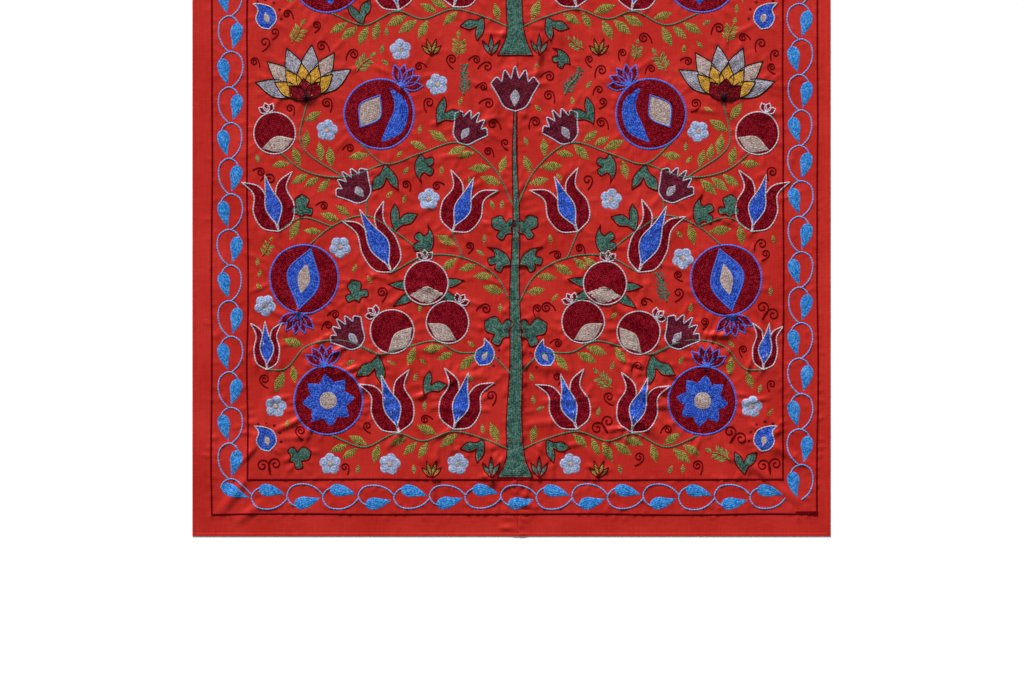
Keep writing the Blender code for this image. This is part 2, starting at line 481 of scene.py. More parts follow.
def lotus(spot):
    """Layered palmette: long grey and cream petals, ochre ones before them, and crimson at the foot."""
    layers = [
        (((-66, "grey"), (66, "grey"), (-40, "cream"), (40, "cream"), (-14, "grey"), (14, "grey")),
         0.10, 0.90, 0.30, 0.62),
        ([(turn, "ochre") for turn in (-54, -27, 0, 27, 54)], 0.06, 0.62, 0.24, 0.62),
        ([(turn, "crimson") for turn in (-40, 0, 40)], 0.02, 0.40, 0.24, 0.60),
    ]
    for level, (petals, foot, length, width, fullest) in enumerate(layers):
        for turn, thread in petals:
            outline = lay(spot, petal((0, foot), turn, length, width, fullest))
            ringed("lotus_palmettes", thread, outline, "black_line", spot, level, FINE_LINE)


def star_flower(spot):
    """Small pale flower of five round petals."""
    for turn in range(0, 360, 72):
        foot = (0.5 * math.sin(math.radians(turn)), 0.5 + 0.5 * math.cos(math.radians(turn)))
        middle = (foot[0] * 0.56, 0.5 + (foot[1] - 0.5) * 0.56)
        fill("star_flowers", "sky", through(spot.put(disc(middle, 0.25, 8)), closed=True), spot)
    fill("star_flowers", "cream", through(spot.put(disc((0, 0.5), 0.14, 7)), closed=True), spot, 1)


def almond(spot):
    """Bent almond in cobalt with a cream core and plum seeds along its back."""
    runs = [[(0, 0), (-0.34, 0.22), (-0.36, 0.60), (-0.10, 0.86), (0.20, 1.0)]]
    runs += [[(0.20, 1.0), (0.12, 0.76), (0.30, 0.48), (0.24, 0.16), (0, 0)]]
    ringed("almonds", "cobalt", lay(spot, runs), "pale_line", spot, 0, 0.0024)
    fill("almonds", "cream", lay(spot, petal((-0.03, 0.16), -6, 0.46, 0.22, 0.45)), spot, 1)
    for step in range(5):
        bend = math.radians(-118 + 32 * step)
        middle = (-0.04 + 0.52 * math.sin(bend), 0.45 + 0.58 * math.cos(bend))
        fill("almonds", "plum", through(spot.put(disc(middle, 0.055, 6)), closed=True), spot)


def curl(spot, turns=1.45, double=False):
    """Tendril: a tail that winds into a spiral, or two spirals back to back."""
    for way in ((1, -1) if double else (1,)):
        angles = np.linspace(0, 2 * math.pi * turns, 26)
        radius = 0.34 * (1.0 - 0.82 * angles / angles[-1])
        x = way * (0.34 - radius * np.cos(angles))
        y = 0.52 + radius * np.sin(angles)
        tail = [(0.0, 0.0), (way * -0.04, 0.28)]
        line("tendrils", "maroon_line", through(spot.put(tail + list(zip(x, y))), 0.0028), 0.0026)


# ---------------------------------------------------------------- layout of the field

# The drawing of one side of one tier, in metres: u outwards from the axis, v up from the tier's foot.
Motif = namedtuple("Motif", "kind u v turn size")

ROUND, SMALL, TULIP = 0.132, 0.082, 0.108

FLOWERS = [
    Motif("rosette", 0.350, 0.082, 8, ROUND),
    Motif("split", 0.392, 0.444, 172, ROUND),
    Motif("moon", 0.300, 0.642, -38, ROUND),
    Motif("bud", 0.150, 0.262, -30, SMALL),
    Motif("bud", 0.205, 0.250, 48, SMALL),
    Motif("bud_leafy", 0.168, 0.330, 4, SMALL),
    Motif("bud", 0.448, 0.620, 20, SMALL),
    Motif("tulip", 0.118, 0.092, -16, TULIP),
    Motif("tulip", 0.222, 0.086, 14, TULIP),
    Motif("tulip", 0.452, 0.470, 12, TULIP),
    Motif("slim_tulip", 0.236, 0.392, 24, 0.130),
    Motif("tulip", 0.120, 0.470, -22, TULIP),
    Motif("slim_tulip", 0.474, 0.206, 4, 0.088),
    Motif("carnation", 0.108, 0.640, -32, 0.062),
    Motif("carnation", 0.284, 0.530, 40, 0.062),
    Motif("carnation", 0.296, 0.250, 40, 0.060),
    Motif("lotus", 0.398, 0.716, 6, 0.110),
    Motif("almond", 0.068, 0.214, -24, 0.052),
    Motif("almond", 0.470, 0.050, 20, 0.056),
]

BRANCHES = [
    [(0.008, 0.052), (0.060, 0.074), (0.118, 0.088), (0.180, 0.070), (0.222, 0.084), (0.290, 0.058),
     (0.350, 0.080)],
    [(0.006, 0.196), (0.050, 0.236), (0.110, 0.240), (0.150, 0.260), (0.205, 0.250), (0.262, 0.236),
     (0.296, 0.250)],
    [(0.262, 0.236), (0.330, 0.262), (0.400, 0.250), (0.444, 0.206), (0.474, 0.206)],
    [(0.005, 0.330), (0.040, 0.388), (0.100, 0.420), (0.170, 0.424), (0.236, 0.392)],
    [(0.100, 0.420), (0.120, 0.470)],
    [(0.170, 0.424), (0.230, 0.470), (0.284, 0.500), (0.350, 0.480), (0.392, 0.446)],
    [(0.284, 0.500), (0.284, 0.530)],
    [(0.350, 0.480), (0.410, 0.496), (0.452, 0.470)],
    [(0.004, 0.520), (0.040, 0.590), (0.108, 0.640), (0.180, 0.620), (0.250, 0.600), (0.300, 0.642)],
    [(0.250, 0.600), (0.330, 0.574), (0.410, 0.590), (0.448, 0.620)],
    [(0.330, 0.574), (0.410, 0.640), (0.398, 0.716)],
]

SCROLLS = [
    Motif("hook", 0.012, 0.112, 52, 0.072),
    Motif("three", 0.010, 0.268, 58, 0.058),
    Motif("hook", 0.008, 0.404, 44, 0.058),
    Motif("three", 0.006, 0.466, 50, 0.048),
    Motif("wing", 0.060, 0.074, 150, 0.046),
    Motif("wing", 0.290, 0.058, 20, 0.048),
    Motif("three", 0.330, 0.262, 10, 0.056),
    Motif("hook", 0.400, 0.250, 176, 0.060),
    Motif("wing", 0.262, 0.236, 168, 0.056),
    Motif("three", 0.040, 0.388, 8, 0.052),
    Motif("hook", 0.170, 0.424, -6, 0.060),
    Motif("wing", 0.230, 0.470, -20, 0.052),
    Motif("hook", 0.350, 0.480, 4, 0.062),
    Motif("three", 0.410, 0.496, 0, 0.046),
    Motif("hook", 0.180, 0.620, 176, 0.058),
    Motif("wing", 0.250, 0.600, 190, 0.054),
    Motif("three", 0.330, 0.574, 170, 0.052),
    Motif("wing", 0.150, 0.676, -34, 0.052),
    Motif("hook", 0.400, 0.640, 70, 0.050),
]

DRAW = {
    "rosette": lambda spot: pomegranate(spot, "rosette"),
    "split": lambda spot: pomegranate(spot, "split"),
    "moon": lambda spot: pomegranate(spot, "moon"),
    "bud": lambda spot: small_pomegranate(spot, False),
    "bud_leafy": lambda spot: small_pomegranate(spot, True),
    "tulip": lambda spot: tulip(spot, False),
    "slim_tulip": lambda spot: tulip(spot, True),
    "carnation": carnation,
    "lotus": lotus,
    "almond": almond,
}


def trunk(foot):
    """The stem that runs up the middle of a tier, broad at its foot."""
    heights = [0.0, 0.03, 0.10, 0.22, 0.36, 0.50, 0.62, 0.70]
    halves = [0.034, 0.020, 0.015, 0.012, 0.009, 0.006, 0.004, 0.0025]
    sways = [0.0, 0.001, -0.002, 0.002, -0.001, 0.002, -0.001, 0.0]
    left = [(sway - half, height) for height, half, sway in zip(heights, halves, sways)]
    right = [(sway + half, height) for height, half, sway in zip(heights, halves, sways)]
    spot = Spot(0.0, foot)
    outline = cornered(spot.put(left), spot.put([left[-1], right[-1]]), spot.put(right[::-1]),
                       spot.put([right[0], left[0]]))
    ringed("trunk", "green", outline, "maroon_line", spot, 0, 0.0026)
    carnation(Spot(0.0, foot + 0.700, 0, 0.075))


def leaves_along(points, side, rng):
    """Plain leaves on alternate sides of a branch, wherever the ground beside it is open."""
    run = through(np.array(points), 0.004)
    hand = 1
    for i in range(6, len(run) - 5, 5):
        ahead = run[i + 1] - run[i - 1]
        bearing = math.degrees(math.atan2(ahead[0], ahead[1]))
        for turn in (hand * 48, -hand * 48):
            size = rng.uniform(0.036, 0.046)
            start = Spot(*run[i], bearing + turn, 1.0, side)
            leaf = Spot(*start.put([(0, 0.0035)])[0], 0, 1.0)
            leaf = Spot(side * (leaf.u - AXIS), leaf.v, bearing + turn + rng.uniform(-6, 6), size, side)
            if is_open(lay(leaf, petal((0, 0.16), 0, 0.84, 0.40, 0.52))):
                olive_leaf(leaf)
                hand = -hand
                break


def lay_out_side(foot, side, seed):
    """One side of one tier: flowers first, then the branches that carry them, then leaves."""
    rng = random.Random(seed)
    for motif in FLOWERS:
        turn = motif.turn + rng.uniform(-3, 3)
        size = motif.size * rng.uniform(0.97, 1.03)
        DRAW[motif.kind](Spot(motif.u, foot + motif.v, turn, size, side))
    for motif in SCROLLS:
        spot = Spot(motif.u, foot + motif.v, motif.turn + rng.uniform(-4, 4), motif.size, side)
        if is_open(spot.put([(-0.1, 0.35), (0.1, 0.35), (0.12, 0.9), (-0.12, 0.9)])):
            scroll_leaf(spot, motif.kind)
    for points in BRANCHES:
        run = [(u, foot + v) for u, v in points]
        path = through(Spot(0, 0, 0, 1.0, side).put(run))
        line("branches", "green_line", path, 0.0030, 0, 0.003)
    for points in BRANCHES:
        leaves_along([(u, foot + v) for u, v in points], side, rng)


def spray(spot, pairs, thread):
    """Small free spray: a bent stem with paired leaves."""
    stem = spot.put([(0, 0), (0.05, 0.35), (-0.02, 0.72)])
    line("leaf_sprays", "olive_line", through(stem), FINE_LINE, 0, 0.002)
    for i in range(pairs):
        share = 0.12 + 0.56 * i / pairs
        for turn in (-52, 52):
            leaf = lay(spot, petal((0.03, share), turn, 0.36, 0.16, 0.55))
            fill("leaf_sprays", thread, leaf, spot, 0, 0.003)
    fill("leaf_sprays", thread, lay(spot, petal((-0.02, 0.72), 0, 0.34, 0.16, 0.55)), spot, 0, 0.003)


def fill_the_open_ground(seed):
    """Sprays, small flowers and tendrils wherever the field is still open, largest first."""
    rng = random.Random(seed)
    kinds = [
        (0.060, "fern"), (0.050, "spray"), (0.046, "three"), (0.040, "star"), (0.040, "spray"),
        (0.036, "double"), (0.030, "curl"), (0.024, "curl"), (0.020, "leaf"),
    ]
    for across, kind in kinds:
        step = across * 0.55
        for v in np.arange(INNER_BOTTOM + 0.01, INNER_TOP - 0.01, step):
            for u in np.arange(INNER_LEFT - AXIS + 0.01, INNER_RIGHT - AXIS - 0.01, step):
                turn = rng.uniform(-70, 70)
                spot = Spot(u + rng.uniform(-1, 1) * step / 3, v, turn, across, rng.choice((-1, 1)))
                spot.u *= spot.side
                if not is_open(spot.put([(-0.46, 0.02), (0.46, 0.02), (0.46, 0.98), (-0.46, 0.98)])):
                    continue
                if kind == "fern":
                    fern_leaf(spot)
                if kind == "spray":
                    spray(spot, 3, rng.choice(("olive", "sage")))
                if kind == "three":
                    scroll_leaf(spot, rng.choice(("three", "hook", "wing")))
                if kind == "star":
                    star_flower(spot)
                if kind == "double":
                    curl(spot, 1.3, True)
                if kind == "curl":
                    curl(spot, rng.uniform(1.2, 1.7))
                if kind == "leaf":
                    olive_leaf(spot, rng.choice(("olive", "sage")))


def field():
    """Two tiers, each with a trunk and two mirrored sides, then whatever fills the ground."""
    for tier in range(2):
        foot = INNER_BOTTOM + 0.004 + tier * TIER
        trunk(foot)
        for side in (-1, 1):
            blades(Spot(0.046, foot, 0, 0.042, side), "green", (-30, 0, 30), 1.0)
            blades(Spot(0.160, foot, 0, 0.038, side), "olive", (-44, -16, 16, 44), 1.0)
            lay_out_side(foot, side, 40 + 2 * tier + side)
    fill_the_open_ground(7)


# ---------------------------------------------------------------- border

LEAF_LONG, LEAF_WIDE = 0.050, 0.024
LEAF_START, LEAF_ASIDE = 0.20, 0.0165  # where a leaf's head is: share of a loop, and how far beside the path
BULGE = 0.0235  # how far a loop swings out
VINE_WIDTH, FRAME_WIDTH, OVERRUN_WIDTH = 0.0026, 0.0034, 0.0044
# One loop: share of its length along the path, share of the bulge beside it
HOOK = ((0.25, -0.74), (0.12, -0.56), (0.0, 0.08), (0.12, 0.76), (0.46, 1.0), (0.82, 0.66), (1.02, 0.10))


def vine(corners, loops):
    """Vine along straight runs that turn smoothly into each other: hooked loops on alternate sides, each
    holding a drop-shaped leaf."""
    path = rounded(corners, 0.020)
    lengths = np.concatenate([[0], np.cumsum(np.linalg.norm(np.diff(path, axis=0), axis=1))])
    period = lengths[-1] / loops

    def at(s, t):
        """Point beside the path: s along it, t to its left."""
        s = np.clip(s, 0.0, lengths[-1] - 1e-6)
        here = np.array([np.interp(s, lengths, path[:, k]) for k in range(2)])
        ahead = np.array([np.interp(min(s + 0.004, lengths[-1]), lengths, path[:, k]) for k in range(2)])
        back = np.array([np.interp(max(s - 0.004, 0.0), lengths, path[:, k]) for k in range(2)])
        along = (ahead - back) / np.linalg.norm(ahead - back)
        return here + t * np.array([-along[1], along[0]])

    rng = random.Random(round(1000 * corners[0][1]) + loops)
    for i in range(loops):
        hand = 1 if i % 2 == 0 else -1
        start = i * period
        bulge = BULGE * rng.uniform(0.92, 1.06)
        points = [at(start + s * period, hand * t * bulge) for s, t in HOOK]
        line("border_vine", "sky_line", through(points), VINE_WIDTH, 0, 0)
        head = at(start + LEAF_START * period, -hand * LEAF_ASIDE)
        tip = at(start + LEAF_START * period + LEAF_LONG, -hand * rng.uniform(0.001, 0.006))
        border_leaf(head, tip, hand)


def border_leaf(head, tip, hand):
    """Drop with a round head and a bent, pointed tip."""
    along = tip - head
    length = np.linalg.norm(along)
    along = along / length
    out = -hand * np.array([-along[1], along[0]])
    half = LEAF_WIDE / 2

    def on(s, t):
        return head + along * s * length + out * t * half

    back = [on(1, 0), on(0.72, 0.62), on(0.38, 0.98), on(0.10, 0.72), on(0, 0)]
    belly = [on(0.08, -0.72), on(0.34, -1.0), on(0.66, -0.50), on(1, 0)]
    outline = through(back + belly)[:-1]
    fills["border_leaves"].append((outline, "border_blue", 0, head, along))


def rounded(corners, radius):
    """A path through corners, each turned on a small arc."""
    points = [np.array(corners[0], float)]
    for before, corner, after in zip(corners, corners[1:], corners[2:]):
        corner = np.array(corner, float)
        into = (corner - before) / np.linalg.norm(corner - before)
        out = (after - corner) / np.linalg.norm(after - corner)
        for t in np.linspace(0, 1, 7):
            start, end = corner - into * radius, corner + out * radius
            points.append((1 - t) ** 2 * start + 2 * t * (1 - t) * corner + t**2 * end)
    points.append(np.array(corners[-1], float))
    return np.array(points)


def wavering(start, end, seed, sway=0.0012):
    """A ruled line as sewn by hand, never quite straight."""
    rng = random.Random(seed)
    count = max(3, round(math.dist(start, end) / 0.11))
    start, end = np.array(start), np.array(end)
    across = np.array([-(end - start)[1], (end - start)[0]]) / np.linalg.norm(end - start)
    points = [start + (end - start) * i / count + across * rng.uniform(-sway, sway) for i in range(count + 1)]
    return through(points, 0.006)


def border():
    """Two frame lines and the vine between them."""
    frames = (
        (OUTER_LEFT, OUTER_RIGHT, OUTER_BOTTOM, OUTER_TOP),
        (INNER_LEFT, INNER_RIGHT, INNER_BOTTOM, INNER_TOP),
    )
    for seed, (low_x, high_x, low_y, high_y) in enumerate(frames):
        ring = [(low_x, high_y), (low_x - 0.003 * (1 - seed), low_y), (high_x, low_y), (high_x, high_y)]
        for side, (start, end) in enumerate(zip(ring, ring[1:] + ring[:1])):
            line("frame_lines", "maroon_line", wavering(start, end, 10 * seed + side), FRAME_WIDTH, 0, 0)
    overrun = [(OUTER_RIGHT - 0.042, OUTER_BOTTOM + 0.003), (OUTER_RIGHT + 0.001, OUTER_BOTTOM + 0.003)]
    line("frame_lines", "maroon_line", wavering(*overrun, 5), OVERRUN_WIDTH, 0, 0)
    middle = BAND / 2
    left, right = OUTER_LEFT + middle, OUTER_RIGHT - middle
    bottom, top = OUTER_BOTTOM + middle, OUTER_TOP - middle
    vine([(left, top - 0.012), (left, bottom), (right - 0.028, bottom)], 40)
    vine([(left - 0.010, top), (right, top), (right, bottom - 0.006)], 41)


# ---------------------------------------------------------------- puckers that the needlework draws in


def slack(y):
    """How loosely the ground lies: most at the bottom end, where the sewing is heaviest."""
    return 1.0 + 0.8 * float(soft_step((-0.30 - y) / 0.45))


def pucker(start, out, length, height, half_width):
    """Adds one crease that runs outwards from a point."""
    end = start + out * length
    PUCKERS.append(Crease(start[0], start[1], end[0], end[1], height * slack(start[1]), half_width))


def draw_in(seed):
    """Short creases off the motifs, the lines and the seam, where the thread pulls the ground together."""
    rng = random.Random(seed)

    def turned(out, spread):
        bend = rng.gauss(0.0, spread)
        return np.array([out[0] * math.cos(bend) - out[1] * math.sin(bend),
                         out[0] * math.sin(bend) + out[1] * math.cos(bend)])

    for piece, runs in fills.items():
        if piece in ("border_leaves", "leaf_sprays"):
            continue
        for outline, _, level, _, _ in runs:
            if level or np.ptp(outline, axis=0).max() < 0.028:
                continue
            middle = outline.mean(0)
            lengths = np.concatenate([[0.0], np.cumsum(np.linalg.norm(np.diff(outline, axis=0), axis=1))])
            place = rng.uniform(0.0, 0.014)
            while place < lengths[-1]:
                point = outline[min(int(np.searchsorted(lengths, place)), len(outline) - 1)]
                out = turned((point - middle) / np.linalg.norm(point - middle), 0.35)
                long_one = rng.random() < 0.16
                reach = rng.uniform(0.045, 0.085) if long_one else rng.uniform(0.014, 0.036)
                height = rng.uniform(0.0014, 0.0024) if long_one else rng.uniform(0.0008, 0.0018)
                pucker(point - out * 0.003, out, reach, height, rng.uniform(0.0056, 0.0080))
                place += rng.uniform(0.010, 0.026)
    for points, _, _, _ in lines["frame_lines"] + lines["border_vine"]:
        for start, end in zip(points[::3], points[2::3]):
            if rng.random() < 0.5:
                along = (end - start) / np.linalg.norm(end - start)
                out = turned(np.array([-along[1], along[0]]) * rng.choice((-1, 1)), 0.5)
                reach = rng.uniform(0.010, 0.026)
                pucker(start - out * 0.004, out, reach, rng.uniform(0.0005, 0.0012), 0.0058)
    for y in np.arange(EDGE_BOTTOM + 0.008, EDGE_TOP - 0.008, 0.012):
        for hand in (-1, 1):
            out = turned(np.array([float(hand), 0.0]), 0.22)
            pucker(np.array([SEAM, y + rng.uniform(-0.005, 0.005)]), out, rng.uniform(0.010, 0.042),
                   rng.uniform(0.0005, 0.0013), 0.0064)


# ---------------------------------------------------------------- meshes

PILE = (0.0009, 0.0006, 0.0005)  # how far a fill stands up, by level
BASE = (0.0001, 0.0009, 0.0014)  # height of a fill's edge over the cloth, by level
EDGE_ROUND = 0.0034  # width of a fill's rounded edge
STITCH = "stitch"  # where a point is in its own needlework, in metres


def nearest(outline, points):
    """For each point, the nearest spot of the outline, and how far it is."""
    step = np.roll(outline, -1, axis=0) - outline
    away = points[:, None, :] - outline[None]
    share = np.clip((away * step).sum(2) / np.maximum((step * step).sum(1), 1e-12), 0.0, 1.0)
    spots = outline[None] + share[..., None] * step
    gaps = np.linalg.norm(points[:, None, :] - spots, axis=2)
    best = gaps.argmin(1)
    index = np.arange(len(points))
    return spots[index, best], gaps[index, best]


def cut_across(bm, axis, place):
    """Cuts everything along the straight line x = place or y = place."""
    point, normal = [0.0, 0.0, 0.0], [0.0, 0.0, 0.0]
    point[axis], normal[axis] = place, 1.0
    geom = bm.verts[:] + bm.edges[:] + bm.faces[:]
    bmesh.ops.bisect_plane(bm, geom=geom, dist=1e-5, plane_co=point, plane_no=normal)


def sew_fill(bm, outline, thread, level, foot, heading, threads):
    """Cuts an outline into small cells and raises it into a low, round-edged cushion of thread."""
    ring = [bm.verts.new((x, y, 0.0)) for x, y in outline]
    bm.faces.new(ring).normal_update()
    for axis, cell, origin in ((0, CUT_X, EDGE_LEFT), (1, CUT_Y, EDGE_BOTTOM)):
        first = math.ceil((outline[:, axis].min() - origin) / cell)
        last = math.ceil((outline[:, axis].max() - origin) / cell)
        for cut in range(first, last):
            cut_across(bm, axis, origin + cut * cell)
    points = np.array([vert.co[:2] for vert in bm.verts])
    spots, depth = nearest(outline, points)
    rounding = 1.0 - (1.0 - np.clip(depth / EDGE_ROUND, 0.0, 1.0)) ** 2
    heights = face(points[:, 0], points[:, 1]) + BASE[level] + PILE[level] * rounding
    across = (points - foot) @ np.array([heading[1], -heading[0]])
    along = (points - foot) @ heading
    feathered = thread in LEAF_COLOURS
    places = np.stack([across, along, depth] if feathered else [spots[:, 0], spots[:, 1], depth], axis=1)
    layer = bm.verts.layers.float_vector.new(STITCH)
    for vert, height, place in zip(bm.verts, heights, places):
        vert.co.z = height
        vert[layer] = place
    for item in bm.faces:
        item.material_index = threads.index(thread)
        item.smooth = True
        if item.normal.z < 0:
            item.normal_flip()


# Section of a sewn line: share of its width, share of its height
ACROSS = ((-0.5, 0.0), (-0.3, 0.85), (0.3, 0.85), (0.5, 0.0))
LINE_HEIGHT = 0.0011
LINE_BASE = (0.0002, 0.0010, 0.0015)  # height of a line's edge over the cloth, by level


def sew_line(bm, points, thread, width, level, threads):
    """Bends a flat strip onto the line and rounds it."""
    gaps = np.linalg.norm(np.diff(points, axis=0), axis=1)
    points = points[np.concatenate([[True], gaps > 1e-5])]
    along = np.concatenate([[0.0], np.cumsum(np.linalg.norm(np.diff(points, axis=0), axis=1))])
    heading = np.gradient(points, axis=0)
    heading /= np.linalg.norm(heading, axis=1)[:, None] + 1e-12
    across = np.stack([heading[:, 1], -heading[:, 0]], axis=1)
    columns, rows = len(ACROSS) - 1, len(points) - 1
    strip = bmesh.ops.create_grid(bm, x_segments=columns, y_segments=rows, size=0.5)["verts"]
    layer = bm.verts.layers.float_vector[STITCH]
    shares = np.array(ACROSS)
    flat = points[:, None, :] + across[:, None, :] * (shares[:, 0] * width)[None, :, None]
    ground = face(flat[..., 0].ravel(), flat[..., 1].ravel()).reshape(flat.shape[:2])
    height = ground + LINE_BASE[level] + shares[None, :, 1] * LINE_HEIGHT
    for index, vert in enumerate(strip):
        station, place = divmod(index, len(ACROSS))
        vert.co = (*flat[station, place], height[station, place])
        vert[layer] = (shares[place, 0] * width, along[station], 0.0)
    for item in {item for vert in strip for item in vert.link_faces}:
        item.material_index = threads.index(thread)
        item.smooth = True


def make_object(name, bm, materials):
    """Turns a finished bmesh into an object at the origin."""
    mesh = bpy.data.meshes.new(name)
    bm.to_mesh(mesh)
    bm.free()
    for material in materials:
        mesh.materials.append(material)
    made = bpy.data.objects.new(name, mesh)
    bpy.context.scene.collection.objects.link(made)
    return made


def needlework(name, materials):
    """One piece of needlework: all the fills and lines that go by its name."""
    threads = sorted({item[1] for item in fills[name]} | {item[1] for item in lines[name]})
    whole = bmesh.new()
    whole.verts.layers.float_vector.new(STITCH)
    scrap = bpy.data.meshes.new("scrap")
    for item in fills[name]:
        bm = bmesh.new()
        sew_fill(bm, *item, threads)
        bm.to_mesh(scrap)
        bm.free()
        whole.from_mesh(scrap)
    bpy.data.meshes.remove(scrap)
    for item in lines[name]:
        sew_line(whole, *item, threads)
    piece = make_object(name, whole, [materials[thread] for thread in threads])
    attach(piece, "root")


def ground_panel(name, low, high, node_name, material):
    """One loom width: a grid given its thickness, its face divided finer, then laid on its folds."""
    bm = bmesh.new()
    columns, rows = round((high - low) / (3 * CELL)), round(LENGTH / (3 * CELL))
    bmesh.ops.create_grid(bm, x_segments=columns, y_segments=rows, size=0.5)
    bmesh.ops.scale(bm, verts=bm.verts, vec=(high - low, LENGTH, 1.0))
    bmesh.ops.translate(bm, verts=bm.verts, vec=((low + high) / 2, (EDGE_BOTTOM + EDGE_TOP) / 2, 0.0))
    raised = bmesh.ops.extrude_face_region(bm, geom=bm.faces[:], use_keep_orig=True)["geom"]
    bmesh.ops.translate(bm, verts=[item for item in raised if isinstance(item, bmesh.types.BMVert)],
                        vec=(0.0, 0.0, CLOTH))
    top = [edge for edge in bm.edges if all(vert.co.z > CLOTH / 2 for vert in edge.verts)]
    bmesh.ops.subdivide_edges(bm, edges=top, cuts=2, use_grid_fill=True)
    cuts = [(0, SEAM - 0.0020), (0, SEAM - 0.0009), (0, SEAM + 0.0009), (0, SEAM + 0.0020)]
    for share in (0.9, 1.1):
        cuts += [(0, EDGE_LEFT + HEM_LEFT * share), (0, EDGE_RIGHT - HEM_RIGHT * share)]
        cuts += [(1, EDGE_BOTTOM + HEM_END * share), (1, EDGE_TOP - HEM_END * share)]
    for axis, place in cuts:
        cut_across(bm, axis, place)
    verts = list(bm.verts)
    x, y, z = np.array([vert.co for vert in verts]).T
    reach = 1.5 * CELL
    around = [lie(x + dx, y + dy) for dx in (-reach, 0.0, reach) for dy in (-reach, 0.0, reach)]
    heights = np.where(z > CLOTH / 2, face(x, y), np.minimum.reduce(around))
    for vert, height in zip(verts, heights):
        vert.co.z = height
    bmesh.ops.recalc_face_normals(bm, faces=bm.faces)
    for item in bm.faces:
        item.smooth = True
    panel = make_object(name, bm, [material])
    panel.data.set_sharp_from_angle(angle=math.radians(60))
    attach(panel, "root")
    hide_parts(node_name)


# ---------------------------------------------------------------- materials


def colour(hex_code):
    """Linear colour from an sRGB hex value."""
    channels = [int(hex_code[i:i + 2], 16) / 255 for i in (1, 3, 5)]
    return (*[c / 12.92 if c <= 0.04045 else ((c + 0.055) / 1.055) ** 2.4 for c in channels], 1.0)


def add(tree, kind, links=None, stops=(), **settings):
    """Adds a node. Settings are its own fields, and stops a ramp's places and colours. Links name its
    sockets: each takes a plain value, or the socket or node that feeds it."""
    made = tree.nodes.new(kind)
    for name, value in settings.items():
        setattr(made, name, value)
    for index, (place, code) in enumerate(stops):
        band = made.color_ramp.elements
        stop = band[index] if index < 2 else band.new(place)
        stop.position, stop.color = place, colour(code)
    for name, value in (links or {}).items():
        if isinstance(value, bpy.types.Node):
            value = value.outputs[0]
        if isinstance(value, bpy.types.NodeSocket):
            tree.links.new(value, made.inputs[name])
        else:
            made.inputs[name].default_value = value
    return made


def new_material(name):
    """An empty material and its node tree."""
    material = bpy.data.materials.new(name)
    material.use_nodes = True
    material.node_tree.nodes.clear()
    return material, material.node_tree


def matt_paint():
    """Matt white emulsion, rolled on: no gloss, and the faintest grain."""
    material, tree = new_material("matt_white_paint")
    grain = add(tree, "ShaderNodeTexNoise", {"Scale": 40.0})
    base = add(tree, "ShaderNodeValToRGB", {"Fac": grain}, [(0.0, "#F6F6F6"), (1.0, "#FAFAFA")])
    shader = add(tree, "ShaderNodeBsdfPrincipled", {"Base Color": base, "Roughness": 0.9})
    add(tree, "ShaderNodeOutputMaterial", {"Surface": shader})
    return material


def cloth_shader(tree, base, roughness, bump, tint, gloss=0.12, sheen=0.0):
    """Cloth: a soft surface whose little gloss has the colour of the dyed silk."""
    shader = add(tree, "ShaderNodeBsdfPrincipled", {
        "Base Color": base, "Roughness": roughness, "Normal": bump, "IOR": 1.5,
        "Sheen Weight": sheen, "Sheen Roughness": 0.45, "Sheen Tint": colour(tint),
        "Specular IOR Level": gloss, "Specular Tint": colour(tint)})
    add(tree, "ShaderNodeOutputMaterial", {"Surface": shader})


def hand_woven_satin():
    """Hand-woven satin of silk on cotton, dyed scarlet: soft sheen, slubs along the warp, and a slightly
    uneven dye. The threads are some 0.3 mm apart; the weave is drawn at 2 mm so that it shows."""
    material, tree = new_material("hand_woven_scarlet_satin")
    place = add(tree, "ShaderNodeTexCoord").outputs["Object"]
    warpwise = add(tree, "ShaderNodeMapping", {"Vector": place, "Scale": (480.0, 18.0, 1.0)})
    slubs = add(tree, "ShaderNodeTexNoise", {"Vector": warpwise, "Scale": 1.0, "Detail": 2.0})
    weftwise = add(tree, "ShaderNodeMapping", {"Vector": place, "Scale": (22.0, 460.0, 1.0)})
    weft = add(tree, "ShaderNodeTexNoise", {"Vector": weftwise, "Scale": 1.0, "Detail": 2.0})
    weave = add(tree, "ShaderNodeMix", {"Factor": 0.35, "A": slubs, "B": weft})
    dye = add(tree, "ShaderNodeTexNoise", {"Vector": place, "Scale": 9.0, "Detail": 4.0})
    tone = add(tree, "ShaderNodeMix", {"Factor": 0.45, "A": dye, "B": weave})
    shades = [(0.34, "#9A1A15"), (0.5, "#A6221D"), (0.66, "#B22B25")]
    base = add(tree, "ShaderNodeValToRGB", {"Fac": tone}, shades)
    creasing = add(tree, "ShaderNodeTexNoise", {"Vector": place, "Scale": 70.0, "Detail": 3.0})
    uneven = add(tree, "ShaderNodeMix", {"Factor": 0.3, "A": creasing, "B": weave})
    bump = add(tree, "ShaderNodeBump", {"Height": uneven, "Strength": 0.6, "Distance": 0.0014})
    cloth_shader(tree, base, 0.46, bump, "#F08070", 0.40, 0.06)
    return material


ROW = 0.0036  # between rows of couching; real rows are finer, and this is as fine as shows
FLECK = 0.0026  # length of one couched stitch
SPECK = 0.0021  # glints on single stitches
SLANT = 0.0042  # between the slanting stitches of a leaf
LINK = 0.0052  # length of one chain stitch
MATHS = "ShaderNodeMath"


def stitch_place(tree):
    """The point's place in its own needlework, whole and in its three parts."""
    place = add(tree, "ShaderNodeAttribute", attribute_name=STITCH).outputs["Vector"]
    return place, add(tree, "ShaderNodeSeparateXYZ", {"Vector": place}).outputs


